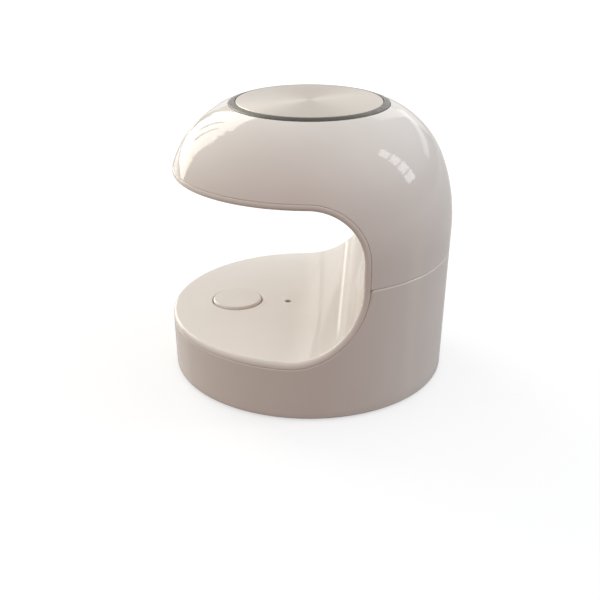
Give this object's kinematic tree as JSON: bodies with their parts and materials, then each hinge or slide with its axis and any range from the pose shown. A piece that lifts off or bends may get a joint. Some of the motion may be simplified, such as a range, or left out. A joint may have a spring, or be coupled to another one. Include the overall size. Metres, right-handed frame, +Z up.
{
  "type": "uv led nail lamp",
  "caption": "Small round nail lamp: a white drum and domed head round a C-shaped finger slot, with a press button in the platform and an LED window above it.",
  "frame": {"origin": "on the table, on the axis of the round body", "axes": "+Z up, -Y out of the mouth of the finger slot, X across it"},
  "size_m": [0.0888, 0.0893, 0.086],
  "materials": {
    "housing_white": "glossy warm white ABS",
    "liner_white": "glossy warm white ABS",
    "disc_silver": "satin pearl silver, spun finish",
    "trim_graphite": "gloss dark grey",
    "button_white": "gloss warm white ABS",
    "smoke_lens": "infrared-passing tinted acrylic",
    "base_white": "fine spark-eroded texture",
    "foot_rubber": "matt silicone rubber",
    "screw_steel": "nickel-plated steel",
    "board_green": "solder mask on glass-epoxy board",
    "switch_black": "moulded nylon",
    "chip_black": "moulded epoxy packages",
    "plunger_white": "moulded nylon",
    "socket_steel": "stamped stainless steel",
    "cell_foil": "aluminium laminate pouch",
    "foam_grey": "closed-cell foam tape",
    "lead_dark": "PVC insulation",
    "window_clear": "clear acrylic",
    "reflector_white": "matt white polycarbonate",
    "led_aluminium": "aluminium-core board, white mask",
    "led_lens": "clear silicone dome over violet emitter",
    "plug_white": "moulded nylon"
  },
  "bodies": {
    "lamp": {"lower_housing": "housing_white", "upper_housing": "housing_white", "slot_liner": "liner_white", "cap_disc": "disc_silver", "trim_ring": "trim_graphite", "sensor_lens": "smoke_lens", "base_plate": "base_white", "rubber_feet": "foot_rubber", "base_screws": "screw_steel", "column_screws": "screw_steel", "main_board": "board_green", "tact_switch": "switch_black", "ir_sensor": "chip_black", "board_chips": "chip_black", "board_screws": "screw_steel", "charge_board": "board_green", "usb_socket": "socket_steel", "charge_screws": "screw_steel", "battery_cell": "cell_foil", "battery_pad": "foam_grey", "battery_leads": "lead_dark", "lamp_window": "window_clear", "reflector": "reflector_white", "led_board": "led_aluminium", "led_chips": "led_lens", "led_screws": "screw_steel", "led_leads": "lead_dark", "power_leads": "lead_dark", "lead_plugs": "plug_white"},
    "button": {"start_button": "button_white", "switch_plunger": "plunger_white"}
  },
  "joints": [
    {"name": "button_press", "type": "slide", "parent": "lamp", "child": "button", "axis": [0, 0, -1], "range_m": [0, 0.0005], "stiffness_N_per_m": 600, "springref_m": -0.0005}
  ]
}
